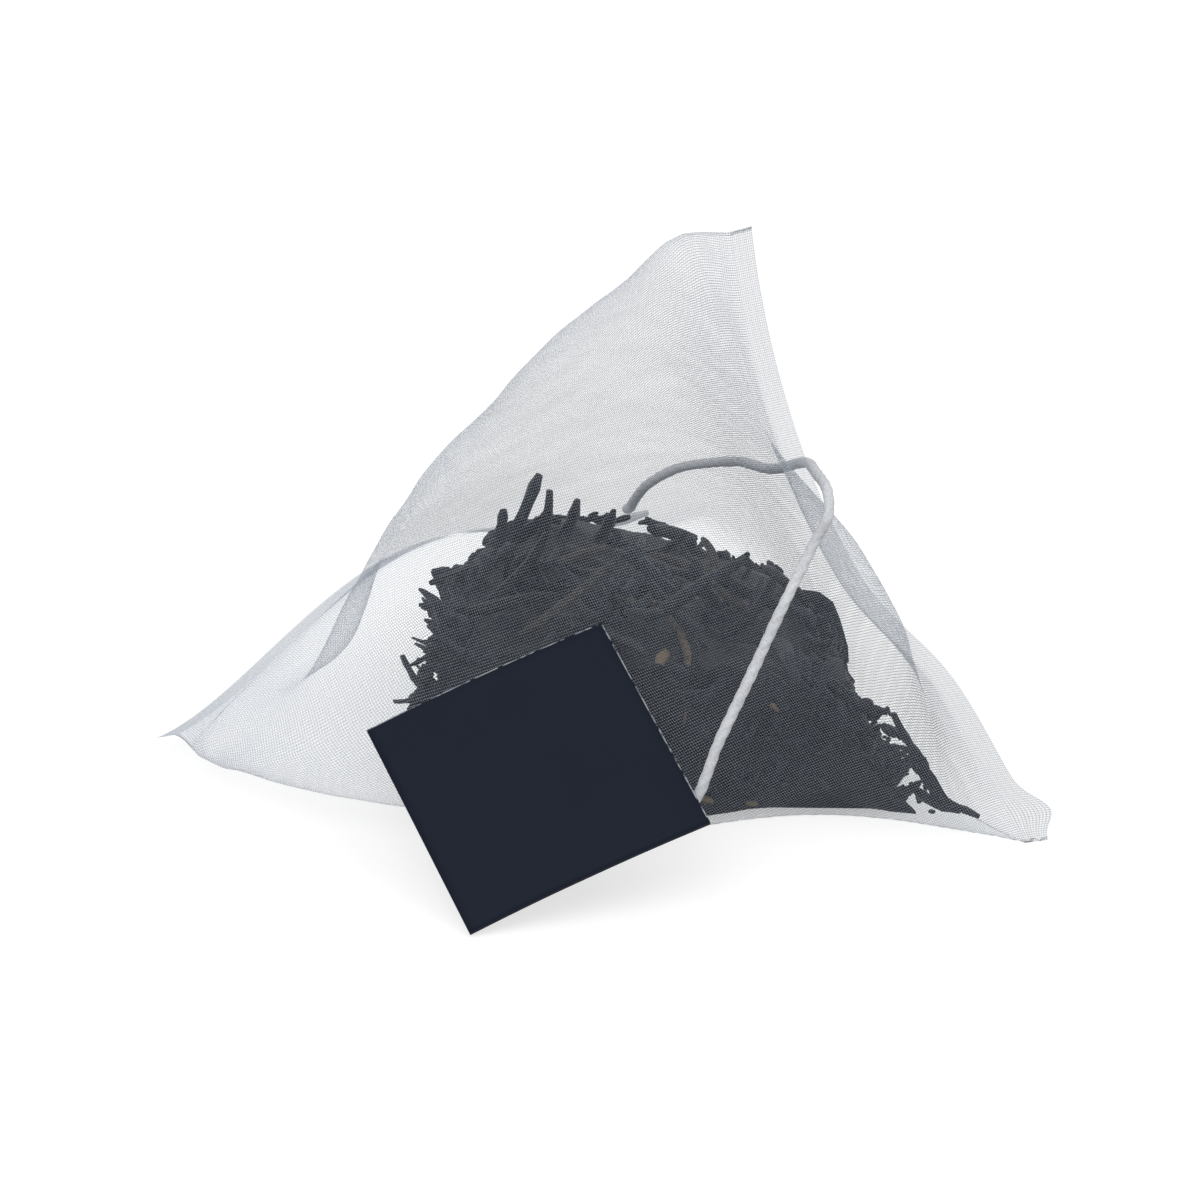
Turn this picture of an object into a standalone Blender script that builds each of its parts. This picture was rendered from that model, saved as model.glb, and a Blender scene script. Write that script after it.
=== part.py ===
"""Pyramid tea bag: a sheer mesh pouch with loose black tea, a string and a card tag.

The pouch is one flattened tube of woven nylon. One end is sealed along the edge from the apex to
the right tip, and the other end is sealed a quarter turn round, from the left tip to the back
corner, which gives the pyramid. It lies on the face between the left tip, right tip and back corner.
"""

import math
import random

import bmesh
import bpy
import numpy as np
from mathutils import Matrix, Vector
from mathutils.bvhtree import BVHTree
from mathutils.noise import noise

for old in list(bpy.data.objects):
    bpy.data.objects.remove(old, do_unlink=True)

MM = 0.001

# The pouch: its flat width, its four corners, and how slack it is.
SEAL_LENGTH = 58.0
APEX = Vector((11.6, -28.5, 49.6))
RIGHT_TIP = Vector((34.5, -30.1, 1.0))
LEFT_TIP = Vector((-34.5, -11.4, 1.0))
BACK_CORNER = Vector((4.5, 30.1, 1.6))
APEX_SEAL_BOW = 7.0
BASE_SEAL_BOW = 4.5
# Where the slack cloth stands out or dips: place round the tube as a share (apex side 0, left tip
# side 0.25, right tip side 0.5, back corner side 0.75), share of the way from seal to seal, how far
# it reaches round and along, and how far it moves in x, y and z.
SLACK = (
    (0.10, 0.32, 0.10, 0.20, (-2.3, 0.0, 2.6)),
    (0.06, 0.10, 0.08, 0.10, (-1.6, 0.0, 1.4)),
    (0.38, 0.58, 0.10, 0.24, (0.0, -9.0, 0.0)),
    (0.34, 0.80, 0.08, 0.12, (-1.0, -8.0, 0.0)),
    (0.17, 0.80, 0.05, 0.07, (3.2, -1.0, -2.6)),
    (0.70, 0.30, 0.09, 0.14, (1.4, 0.0, 1.0)),
    (0.51, 0.50, 0.15, 0.42, (0.0, 0.0, -4.6)),
)
ROUNDNESS = 2.5
WALL = 0.3
FIN_WIDTH = 2.4
FIN_HALF = 0.25
ROUND_CELLS = 40
LENGTH_CELLS = 24
THREAD_RELIEF = 0.1
PORE = 0.42

# The tea: its distance from the wall, and the heap's level and slopes as height against place.
TEA_CLEAR = 0.8
TEA_MIDDLE = (4.6, -7.5)
TEA_LEVEL = 12.0
TEA_SPOKES = 52
TEA_RINGS = 11
FUSED_LEAVES = 46
FREE_LEAVES = 16
FREE_STEMS = 5

# The string's thickness and the places it passes, from the weld to the tag.
STRING_DIAMETER = 0.85
STRING_STEP = 2.2
STRING_ROUTE = (
    (3.5, 28.6, 4.8), (2.9, 26.6, 5.2), (3.2, 24.2, 6.3), (3.5, 21.6, 8.0), (4.6, 19.2, 10.4),
    (6.9, 16.9, 12.7), (9.5, 14.7, 14.1), (12.0, 10.7, 15.8), (13.2, 6.5, 17.1), (14.1, 1.8, 18.7),
    (15.0, -3.6, 20.9), (15.9, -10.0, 23.8), (16.5, -16.0, 26.2), (16.9, -21.0, 27.4), (17.6, -24.6, 27.4),
    (17.6, -26.6, 26.1), (16.6, -27.2, 24.2), (14.2, -29.6, 20.0), (11.7, -32.2, 15.3), (9.5, -34.6, 11.4),
    (8.65, -35.6, 9.4), (7.9, -36.3, 7.7), (6.95, -37.15, 6.75),
)

# The card tag: its size, the middle of its face, and the directions of its width and height.
TAG_SIDE = 19.6
TAG_THICK = 0.4
TAG_MIDDLE = Vector((-4.1, -34.35, 8.3))
TAG_ACROSS = Vector((18.0, 5.4, 6.6))
TAG_UP = Vector((-8.0, 15.4, 9.7))
WELD_SIZE = (3.0, 2.4, 0.5)

collection = bpy.data.collections.new("pyramid_tea_bag")
bpy.context.scene.collection.children.link(collection)


def material(name, colour, roughness):
    made = bpy.data.materials.new(name)
    made.use_nodes = True
    shader = made.node_tree.nodes["Principled BSDF"]
    shader.inputs["Base Color"].default_value = (*colour, 1.0)
    shader.inputs["Roughness"].default_value = roughness
    shader.inputs["Metallic"].default_value = 0.0
    return made


def add_object(name, mesh, look):
    mesh.materials.append(look)
    made = bpy.data.objects.new(name, mesh)
    collection.objects.link(made)
    return made


def section(t):
    """Closed outline at the share t of the way from seal to seal, as pairs (along apex seal, along base seal)."""
    count = 400
    angles = np.linspace(0.0, 2.0 * math.pi, count, endpoint=False)
    power = 2.0 / ROUNDNESS
    xi = np.sign(np.cos(angles)) * np.abs(np.cos(angles)) ** power
    eta = -np.sign(np.sin(angles)) * np.abs(np.sin(angles)) ** power
    low, high = 0.1, 3.0
    for _ in range(40):
        grow = 0.5 * (low + high)
        x = xi * grow * (1.0 - t) * SEAL_LENGTH / 2
        y = eta * grow * t * SEAL_LENGTH / 2
        length = np.hypot(np.roll(x, -1) - x, np.roll(y, -1) - y).sum()
        if length < 2.0 * SEAL_LENGTH:
            low = grow
        else:
            high = grow
    run = np.concatenate([[0.0], np.cumsum(np.hypot(np.roll(x, -1) - x, np.roll(y, -1) - y))])
    wanted = np.arange(ROUND_CELLS) * run[-1] / ROUND_CELLS
    x_at = np.interp(wanted, run, np.append(x, x[0]))
    y_at = np.interp(wanted, run, np.append(y, y[0]))
    return x_at, y_at, grow


APEX_SEAL = (APEX - RIGHT_TIP) / 2
BASE_SEAL = (BACK_CORNER - LEFT_TIP) / 2
AXIS = (LEFT_TIP + BACK_CORNER - APEX - RIGHT_TIP).normalized()
APEX_MID = (APEX + RIGHT_TIP) / 2 + AXIS * FIN_WIDTH
BASE_MID = (LEFT_TIP + BACK_CORNER) / 2 - AXIS * FIN_WIDTH


def slack(around, t):
    """How far the cloth has moved at a place round and along the tube."""
    moved = Vector()
    for at, share, reach, length, move in SLACK:
        off = (around - at + 0.5) % 1.0 - 0.5
        moved += Vector(move) * math.exp(-((off / reach) ** 2) - ((t - share) / length) ** 2)
    return moved * min(1.0, 8.0 * t) * min(1.0, 8.0 * (1.0 - t))


def ring(t, inset, beyond=0.0):
    """The points of the tube's wall at t, its outer side for an inset of 0."""
    x_at, y_at, grow = section(min(max(t, 0.0), 1.0))
    half = SEAL_LENGTH / 2
    a = max(half * grow * (1.0 - t), FIN_HALF)
    b = max(half * grow * t, FIN_HALF)
    points = []
    for k in range(ROUND_CELLS):
        xi = x_at[k] / (half * grow * (1.0 - t)) if t < 1.0 else math.cos(2 * math.pi * k / ROUND_CELLS)
        eta = y_at[k] / (half * grow * t) if t > 0.0 else -math.sin(2 * math.pi * k / ROUND_CELLS)
        point = APEX_MID.lerp(BASE_MID, t)
        point = point + APEX_SEAL / half * (a - inset) * xi
        point = point + BASE_SEAL / half * (b - inset) * eta
        point = point + AXIS * (APEX_SEAL_BOW * (1.0 - xi * xi) * (1.0 - t) ** 2)
        point = point + Vector((0, 0, 1)) * (BASE_SEAL_BOW * (1.0 - eta * eta) * t ** 2)
        point = point + AXIS * beyond + slack(k / ROUND_CELLS, t)
        point.z = max(point.z, inset)
        points.append(point)
    return points


def pouch_mesh():
    mesh = bmesh.new()
    start, end = 0.012, 0.988
    shares = [start + (end - start) * j / LENGTH_CELLS for j in range(LENGTH_CELLS + 1)]
    outer = []
    inner = []
    for j, t in enumerate(shares):
        row = ring(t, 0.0)
        if 1 <= j <= LENGTH_CELLS - 1:
            middle = sum(row, Vector()) / len(row)
            for k, point in enumerate(row):
                if point.z > 0.4:
                    out = (point - middle).normalized()
                    row[k] = point + out * THREAD_RELIEF * (1 if (j + k) % 2 else -1)
        outer.append([mesh.verts.new(p * MM) for p in row])
        inner.append([mesh.verts.new(p * MM) for p in ring(t, WALL)] if 1 <= j <= LENGTH_CELLS - 1 else None)
    first_fin = [mesh.verts.new(p * MM) for p in ring(0.0, 0.0, -FIN_WIDTH)]
    last_fin = [mesh.verts.new(p * MM) for p in ring(1.0, 0.0, FIN_WIDTH)]
    rows = [first_fin] + outer + [last_fin]
    for j in range(len(rows) - 1):
        for k in range(ROUND_CELLS):
            n = (k + 1) % ROUND_CELLS
            corners = (rows[j][k], rows[j][n], rows[j + 1][n], rows[j + 1][k])
            i_row = j - 1
            pore = 2 <= i_row <= LENGTH_CELLS - 3 and i_row % 3 == 0 and k % 3 == 1
            pore = pore and min(v.co.z for v in corners) > 0.4 * MM
            if not pore:
                mesh.faces.new(corners)
                if 1 <= i_row <= LENGTH_CELLS - 2:
                    mesh.faces.new((inner[i_row][k], inner[i_row + 1][k], inner[i_row + 1][n], inner[i_row][n]))
                continue
            back = (inner[i_row][k], inner[i_row][n], inner[i_row + 1][n], inner[i_row + 1][k])
            rims = []
            for four in (corners, back):
                middle = sum((v.co for v in four), Vector()) / 4
                rims.append([mesh.verts.new(middle.lerp(v.co, PORE)) for v in four])
            for m in range(4):
                w = (m + 1) % 4
                mesh.faces.new((corners[m], corners[w], rims[0][w], rims[0][m]))
                mesh.faces.new((back[w], back[m], rims[1][m], rims[1][w]))
                mesh.faces.new((rims[0][m], rims[0][w], rims[1][w], rims[1][m]))
    for row, flip, half_turn in (
        (first_fin, True, 0), (inner[1], False, 0),
        (last_fin, False, ROUND_CELLS // 4), (inner[LENGTH_CELLS - 1], True, ROUND_CELLS // 4),
    ):
        turned = row[half_turn:] + row[:half_turn]
        for k in range(ROUND_CELLS // 2):
            far = (ROUND_CELLS - k) % ROUND_CELLS
            four = [turned[k], turned[k + 1], turned[ROUND_CELLS - k - 1], turned[far]]
            kept = []
            for v in four:
                if v not in kept:
                    kept.append(v)
            if flip:
                kept.reverse()
            mesh.faces.new(kept)
    bmesh.ops.recalc_face_normals(mesh, faces=mesh.faces)
    data = bpy.data.meshes.new("mesh_pouch")
    mesh.to_mesh(data)
    mesh.free()
    return data


def tube_between(name, points, radii, sides):
    """A tube through the points as a closed mesh, with a thickness for each point."""
    curve = bpy.data.curves.new(name, "CURVE")
    curve.dimensions = "3D"
    curve.bevel_depth = 1.0 * MM
    curve.bevel_resolution = sides
    curve.use_fill_caps = True
    spline = curve.splines.new("POLY")
    spline.points.add(len(points) - 1)
    for place, point, radius in zip(spline.points, points, radii):
        place.co = (*(point * MM), 1.0)
        place.radius = radius
    holder = bpy.data.objects.new(name, curve)
    collection.objects.link(holder)
    bpy.context.view_layer.update()
    mesh = bpy.data.meshes.new_from_object(holder.evaluated_get(bpy.context.evaluated_depsgraph_get()))
    bpy.data.objects.remove(holder, do_unlink=True)
    weld = bmesh.new()
    weld.from_mesh(mesh)
    bmesh.ops.remove_doubles(weld, verts=weld.verts, dist=0.00001)
    bmesh.ops.recalc_face_normals(weld, faces=weld.faces)
    weld.to_mesh(mesh)
    weld.free()
    mesh.materials.clear()
    return mesh


def tree_of(mesh):
    return BVHTree.FromPolygons([v.co / MM for v in mesh.vertices], [p.vertices[:] for p in mesh.polygons])


def room_for_tea(clear):
    """The space inside the pouch that is clear of its wall, as a tree for distance tests."""
    shares = [0.05 + 0.9 * j / 30 for j in range(31)]
    points = []
    for t in shares:
        points.extend(ring(t, WALL + clear))
    faces = []
    for j in range(30):
        for k in range(ROUND_CELLS):
            n = (k + 1) % ROUND_CELLS
            faces.append((j * ROUND_CELLS + k, j * ROUND_CELLS + n, (j + 1) * ROUND_CELLS + n,
                          (j + 1) * ROUND_CELLS + k))
    faces.append(tuple(reversed(range(ROUND_CELLS))))
    faces.append(tuple(range(30 * ROUND_CELLS, 31 * ROUND_CELLS)))
    return BVHTree.FromPolygons(points, faces)


def column(room, x, y):
    """The lowest and highest free point above a place on the table, or None outside the pouch."""
    low = room.ray_cast(Vector((x, y, -5.0)), Vector((0, 0, 1)))[0]
    if low is None:
        return None
    high = room.ray_cast(low + Vector((0, 0, 0.05)), Vector((0, 0, 1)))[0]
    if high is None:
        return None
    return low.z, high.z


def tea_level(x, y):
    """The heap's height: level in the middle, steep at the left, long at the right, low at the back."""
    rough = 1.1 * noise(Vector((x, y, 0.0)) * 0.33) + 0.7 * noise(Vector((x, y, 9.0)) * 0.9)
    return min(TEA_LEVEL, 3.0 * (x + 16.0), 0.72 * (30.6 - x), 0.5 * (33.5 - y)) + rough


def tea_column(room, x, y):
    ends = column(room, x, y)
    if ends is None:
        return None
    top = min(ends[1] - 1.3, tea_level(x, y))
    low = ends[0] + 0.2
    return (low, top) if top - low > 0.6 else None


def heap_mesh(room):
    mesh = bmesh.new()
    tops = []
    bottoms = []
    for spoke in range(TEA_SPOKES):
        angle = 2 * math.pi * spoke / TEA_SPOKES
        way = Vector((math.cos(angle), math.sin(angle)))
        inside, outside = 0.0, 60.0
        step = 0.0
        while step < 60.0 and tea_column(room, TEA_MIDDLE[0] + way.x * step, TEA_MIDDLE[1] + way.y * step):
            inside = step
            step += 0.7
        outside = step
        for _ in range(14):
            mid = 0.5 * (inside + outside)
            if tea_column(room, TEA_MIDDLE[0] + way.x * mid, TEA_MIDDLE[1] + way.y * mid):
                inside = mid
            else:
                outside = mid
        low = WALL + TEA_CLEAR
        top_line = []
        bottom_line = []
        for n in range(1, TEA_RINGS + 1):
            reach = inside * (n / TEA_RINGS) ** 0.8
            x = TEA_MIDDLE[0] + way.x * reach
            y = TEA_MIDDLE[1] + way.y * reach
            low, high = tea_column(room, x, y) or (low, low + 0.6)
            top_line.append(mesh.verts.new(Vector((x, y, high)) * MM))
            if n % 2 == 1:
                bottom_line.append(mesh.verts.new(Vector((x, y, low)) * MM))
        tops.append(top_line)
        bottoms.append(bottom_line)
    low, high = tea_column(room, *TEA_MIDDLE)
    peak = mesh.verts.new(Vector((*TEA_MIDDLE, high)) * MM)
    foot = mesh.verts.new(Vector((*TEA_MIDDLE, low)) * MM)
    for spoke in range(TEA_SPOKES):
        here, there = tops[spoke], tops[(spoke + 1) % TEA_SPOKES]
        under, beside = bottoms[spoke], bottoms[(spoke + 1) % TEA_SPOKES]
        mesh.faces.new((peak, here[0], there[0]))
        mesh.faces.new((foot, beside[0], under[0]))
        for line, other, turn in ((here, there, False), (under, beside, True)):
            for n in range(len(line) - 1):
                four = [line[n], line[n + 1], other[n + 1], other[n]]
                if turn:
                    four.reverse()
                mesh.faces.new(four)
        mesh.faces.new((here[-1], under[-1], beside[-1], there[-1]))
    bmesh.ops.recalc_face_normals(mesh, faces=mesh.faces)
    data = bpy.data.meshes.new("tea_heap")
    mesh.to_mesh(data)
    mesh.free()
    return data


def leaf_line(start, way, length, bend, count, rng):
    """Points of a curled leaf or stick from its start, along a way that turns as it goes."""
    points = [start.copy()]
    way = way.normalized()
    side = way.orthogonal().normalized()
    side.rotate(Matrix.Rotation(rng.uniform(0, 6.28), 3, way))
    for _ in range(count - 1):
        way = (way + side * bend + Vector([rng.uniform(-0.12, 0.12) for _ in range(3)])).normalized()
        points.append(points[-1] + way * length / (count - 1))
    return points


def deepest_inside(room, points):
    """The least distance from the points to the edge of the room, negative where one is outside it."""
    least = 99.0
    for point in points:
        distance = room.find_nearest(point)[3]
        crossings = 0
        at = room.ray_cast(point, Vector((0.1, 0.05, 1.0)))[0]
        while at is not None and crossings < 9:
            crossings += 1
            at = room.ray_cast(at + Vector((0.001, 0.0005, 0.01)), Vector((0.1, 0.05, 1.0)))[0]
        least = min(least, distance if crossings % 2 else -distance)
    return least


nylon = material("nylon_mesh", (0.80, 0.82, 0.84), 0.5)
black_tea = material("black_tea", (0.035, 0.032, 0.035), 0.7)
tan_stem = material("tan_stem", (0.35, 0.25, 0.14), 0.7)
cotton = material("cotton", (0.82, 0.81, 0.79), 0.9)
blue_card = material("blue_card", (0.014, 0.02, 0.035), 0.6)
melt = material("nylon_melt", (0.75, 0.77, 0.79), 0.35)

pouch = add_object("mesh_pouch", pouch_mesh(), nylon)

# The heap, with leaves that are caught in it fused to it.
rng = random.Random(7)
room = room_for_tea(TEA_CLEAR)
heap = add_object("tea_heap", heap_mesh(room), black_tea)
surface = tree_of(heap.data)
placed = 0
tries = 0
fused = bpy.data.collections.new("tea_cutters")
bpy.context.scene.collection.children.link(fused)
while placed < FUSED_LEAVES and tries < 4000:
    tries += 1
    x = rng.uniform(-15.0, 27.0)
    y = rng.uniform(-27.0, 23.0)
    ends = tea_column(room, x, y)
    if ends is None:
        continue
    near_edge = placed % 2 == 0
    if near_edge and tea_column(room, x - 2.0, y + 2.5) and tea_column(room, x + 2.5, y + 2.0):
        continue
    start = Vector((x, y, ends[1] - 1.1))
    way = Vector((rng.uniform(-1, 1), rng.uniform(-1, 1), rng.uniform(0.15, 0.9)))
    length = rng.uniform(4.5, 8.5)
    points = leaf_line(start, way, length, rng.uniform(0.0, 0.35), 5, rng)
    if deepest_inside(room, points) < 0.75:
        continue
    thick = rng.uniform(0.45, 0.72)
    radii = [thick * f * rng.uniform(0.85, 1.1) for f in (0.8, 1.0, 0.95, 0.8, 0.45)]
    leaf = tube_between("fused_leaf", points, radii, 1)
    stick = bpy.data.objects.new("fused_leaf", leaf)
    fused.objects.link(stick)
    stick.hide_render = True
    stick.display_type = "WIRE"
    placed += 1
join = heap.modifiers.new("caught_leaves", "BOOLEAN")
join.operation = "UNION"
join.operand_type = "COLLECTION"
join.collection = fused
join.solver = "EXACT"


def world_tree(item):
    shape = item.evaluated_get(bpy.context.evaluated_depsgraph_get()).to_mesh()
    return BVHTree.FromPolygons([item.matrix_world @ v.co / MM for v in shape.vertices],
                                [p.vertices[:] for p in shape.polygons])


# Loose leaves and tan stems, each one lowered until it lies on what is under it.
bpy.context.view_layer.update()
under = [(world_tree(heap), Vector((*TEA_MIDDLE, 8.0)), 99.0)]
join.show_viewport = False
wanted = [("tea_leaf", FREE_LEAVES, black_tea), ("tea_stem", FREE_STEMS, tan_stem)]
for kind, count, look in wanted:
    made = 0
    tries = 0
    while made < count and tries < 3000:
        tries += 1
        x = rng.uniform(-13.0, 22.0)
        y = rng.uniform(-25.0, 19.0)
        ends = tea_column(room, x, y)
        if ends is None:
            continue
        way = Vector((rng.uniform(-1, 1), rng.uniform(-1, 1), rng.uniform(-0.1, 0.3)))
        bend = rng.uniform(0.02, 0.4) if kind == "tea_leaf" else 0.03
        points = leaf_line(Vector((x, y, ends[1] + 1.5)), way, rng.uniform(6.0, 10.0), bend, 6, rng)
        thick = rng.uniform(0.42, 0.62) if kind == "tea_leaf" else 0.4
        radii = [thick * f for f in (0.6, 1.0, 1.05, 0.95, 0.85, 0.5)]
        leaf = tube_between(kind, points, radii, 1)
        corners = [v.co / MM for v in leaf.vertices]
        middle = (points[0] + points[-1]) / 2
        near = [tree for tree, at, reach in under if (at - middle).length < reach]
        drop = 0.0
        gap = 99.0
        while drop < 6.0 and gap > 0.42:
            lower = [c - Vector((0, 0, drop)) for c in corners]
            gap = min(tree.find_nearest(c)[3] for tree in near for c in lower)
            if gap > 0.42:
                drop += max(gap - 0.36, 0.06)
        rests = gap <= 0.42
        shape = BVHTree.FromPolygons(lower, [p.vertices[:] for p in leaf.polygons])
        clash = any(shape.overlap(tree) for tree in near)
        if not rests or clash or gap < 0.3 or deepest_inside(room, lower) < 0.35:
            bpy.data.meshes.remove(leaf)
            continue
        made += 1
        leaf.transform(Matrix.Translation(Vector((0, 0, -drop * MM))))
        add_object(f"{kind}_{made:02d}", leaf, look)
        under.append((shape, middle - Vector((0, 0, drop)), 16.0))
join.show_viewport = True


# The melted pad on the seal at the back corner.
fin_up = AXIS.cross(BASE_SEAL.normalized()).normalized()
if fin_up.z < 0:
    fin_up = -fin_up
along = BASE_SEAL.normalized()
pad_middle = ring(1.0, 0.0, FIN_WIDTH / 2)[3 * ROUND_CELLS // 4 - 1] + fin_up * (FIN_HALF + 0.3 + WELD_SIZE[2] / 2 + 0.3)
solid = bmesh.new()
bmesh.ops.create_cube(solid, size=1.0)
bmesh.ops.scale(solid, vec=Vector(WELD_SIZE) * MM, verts=solid.verts)
pad_mesh = bpy.data.meshes.new("string_weld")
solid.to_mesh(pad_mesh)
solid.free()
pad = add_object("string_weld", pad_mesh, melt)
facing = Matrix((along, fin_up.cross(along), fin_up)).transposed()
pad.matrix_world = Matrix.Translation(pad_middle * MM) @ facing.to_4x4()
rounding = pad.modifiers.new("soft_edges", "BEVEL")
rounding.width = 0.15 * MM
rounding.segments = 2


def smooth_route(route, step):
    """Points a step apart on a smooth curve through the route's points."""
    fine = []
    for n in range(len(route) - 1):
        p0 = Vector(route[max(n - 1, 0)])
        p1, p2 = Vector(route[n]), Vector(route[n + 1])
        p3 = Vector(route[min(n + 2, len(route) - 1)])
        for m in range(40):
            u = m / 40
            fine.append(0.5 * (2 * p1 + (p2 - p0) * u + (2 * p0 - 5 * p1 + 4 * p2 - p3) * u * u
                               + (3 * p1 - p0 - 3 * p2 + p3) * u ** 3))
    fine.append(Vector(route[-1]))
    run = [0.0]
    for a, b in zip(fine, fine[1:]):
        run.append(run[-1] + (b - a).length)
    count = max(2, round(run[-1] / step))
    out = []
    at = 0
    for n in range(count + 1):
        want = run[-1] * n / count
        while at < len(run) - 2 and run[at + 1] < want:
            at += 1
        share = (want - run[at]) / max(run[at + 1] - run[at], 1e-9)
        out.append(fine[at].lerp(fine[at + 1], min(max(share, 0.0), 1.0)))
    return out, run[-1]


# The string, one plain round line from the weld to the back of the tag.
route_points, string_length = smooth_route(STRING_ROUTE, STRING_STEP)
line = bpy.data.curves.new("string", "CURVE")
line.dimensions = "3D"
line.bevel_depth = STRING_DIAMETER / 2 * MM
line.bevel_resolution = 2
line.use_fill_caps = True
spline = line.splines.new("POLY")
spline.points.add(len(route_points) - 1)
for place, point in zip(spline.points, route_points):
    place.co = (*(point * MM), 1.0)
line.materials.append(cotton)
string = bpy.data.objects.new("string", line)
collection.objects.link(string)

# The card tag, a little curled from its left side to its right.
card = bmesh.new()
bmesh.ops.create_grid(card, x_segments=6, y_segments=2, size=TAG_SIDE / 2 * MM)
for v in card.verts:
    v.co.z = 0.35 * MM * (1.0 - (v.co.x / (TAG_SIDE / 2 * MM)) ** 2)
tag_mesh = bpy.data.meshes.new("tag")
card.to_mesh(tag_mesh)
card.free()
tag = add_object("tag", tag_mesh, blue_card)
across = TAG_ACROSS.normalized()
upward = (TAG_UP - across * TAG_UP.dot(across)).normalized()
facing = Matrix((across, upward, across.cross(upward))).transposed()
tag.matrix_world = Matrix.Translation(TAG_MIDDLE * MM) @ facing.to_4x4()
thickness = tag.modifiers.new("card", "SOLIDIFY")
thickness.thickness = TAG_THICK * MM
thickness.offset = 0.0
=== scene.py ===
"""Pyramid tea bag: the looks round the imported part.

One tube of sheer woven nylon, sealed flat at both ends a quarter turn apart, holds loose black
tea. A twisted cotton string runs from the seal at the back, over the right side, to a card tag.
"""

import math
import random

import bmesh
import bpy
import numpy as np
from mathutils import Matrix, Vector
from mathutils.bvhtree import BVHTree
from mathutils.noise import noise


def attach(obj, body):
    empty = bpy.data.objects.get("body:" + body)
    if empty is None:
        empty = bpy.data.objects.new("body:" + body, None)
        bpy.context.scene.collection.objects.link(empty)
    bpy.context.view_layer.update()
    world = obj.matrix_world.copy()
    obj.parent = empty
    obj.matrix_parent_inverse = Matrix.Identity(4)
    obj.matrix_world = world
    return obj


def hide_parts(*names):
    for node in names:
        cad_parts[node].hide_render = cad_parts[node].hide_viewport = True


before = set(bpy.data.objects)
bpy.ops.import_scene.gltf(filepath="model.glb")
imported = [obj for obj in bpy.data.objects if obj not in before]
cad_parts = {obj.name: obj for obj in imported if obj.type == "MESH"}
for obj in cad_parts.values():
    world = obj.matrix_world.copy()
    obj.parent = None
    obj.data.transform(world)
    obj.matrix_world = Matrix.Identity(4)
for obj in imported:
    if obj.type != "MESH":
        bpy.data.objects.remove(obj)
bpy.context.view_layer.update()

# Camera
# A long lens looks down on the bag's front a little from above, as over a packshot table.

MM = 0.001
SIGHT_X = 0.6
SIGHT_Y = -23.5
SIGHT_Z = 18.0
LOOKED_AT = Vector((SIGHT_X, SIGHT_Y, SIGHT_Z)) * MM
LOOKING_DOWN = math.radians(23.0)
CAMERA_AWAY = 0.4
LENS = 158.4

lens = bpy.data.cameras.new("packshot")
lens.lens = LENS
lens.sensor_width = 36.0
lens.clip_start = 0.01
lens.clip_end = 20.0
camera = bpy.data.objects.new("packshot", lens)
bpy.context.scene.collection.objects.link(camera)
away = Vector((0.0, -math.cos(LOOKING_DOWN), math.sin(LOOKING_DOWN)))
camera.location = LOOKED_AT + away * CAMERA_AWAY
camera.rotation_euler = (math.radians(90.0) - LOOKING_DOWN, 0.0, 0.0)
bpy.context.scene.camera = camera

# String
# A soft white cotton string of three plies, twisted, 89 mm from the weld to the tag. Its
# loose fibres stand off it. It is one free cord, glued behind the tag at its far end.

STRING_ROUTE = (
    (3.5, 28.6, 4.8), (2.9, 26.6, 5.2), (3.2, 24.2, 6.3), (3.5, 21.6, 8.0), (4.6, 19.2, 10.4),
    (6.9, 16.9, 12.7), (9.5, 14.7, 14.1), (12.0, 10.7, 15.8), (13.2, 6.5, 17.1),
    (14.1, 1.8, 18.7), (15.0, -3.6, 20.9), (15.9, -10.0, 23.8), (16.5, -16.0, 26.2),
    (16.9, -21.0, 27.4), (17.6, -24.6, 27.4), (17.6, -26.6, 26.1), (16.6, -27.2, 24.2),
    (14.2, -29.6, 20.0), (11.7, -32.2, 15.3), (9.5, -34.6, 11.4), (8.65, -35.6, 9.4),
    (7.9, -36.3, 7.7), (6.95, -37.15, 6.75),
)
STRING_DIAMETER = 0.85
PLIES = 3
PLY_GROOVE = 0.13
TWIST_LENGTH = 3.4
STRING_STEP = 0.16
STRING_AROUND = 21
STRING_UNEVEN = 0.07
UNEVEN_SCALE = 0.7
END_GIRTH = 0.55
END_SWELL = 0.12
STRING_FIBRES = 420
BARE_ROWS = 4
FIBRE_ROOT = 0.36
FIBRE_LENGTHS = (0.25, 0.8)
FIBRE_LIES = 0.8
FIBRE_STANDS = (0.15, 0.4)
FIBRE_RADII = (0.012, 0.004)
CURVE_STEPS = 40
FIRST_SIDE = (0.3, 0.2, 0.9)


def finished(mesh, name, looks, body="root"):
    """A finished piece from its bmesh, riding on the bag."""
    data = bpy.data.meshes.new(name)
    mesh.to_mesh(data)
    mesh.free()
    for look in looks:
        data.materials.append(look)
    for face in data.polygons:
        face.use_smooth = True
    piece = bpy.data.objects.new(name, data)
    bpy.context.scene.collection.objects.link(piece)
    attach(piece, body)
    return piece


def rolled_grid(around, along):
    """A grid to roll into a tube: its columns run round and its rows along, both from 0 to 1."""
    mesh = bmesh.new()
    layer = mesh.loops.layers.uv.new("cloth")
    share = mesh.verts.layers.float.new("along")
    bmesh.ops.create_grid(mesh, x_segments=around, y_segments=along, size=0.5)
    places = {}
    for v in mesh.verts:
        places[v] = (v.co.x + 0.5, v.co.y + 0.5)
        v[share] = v.co.y + 0.5
    for face in mesh.faces:
        for corner in face.loops:
            corner[layer].uv = places[corner.vert]
    return mesh, layer, places


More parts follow.
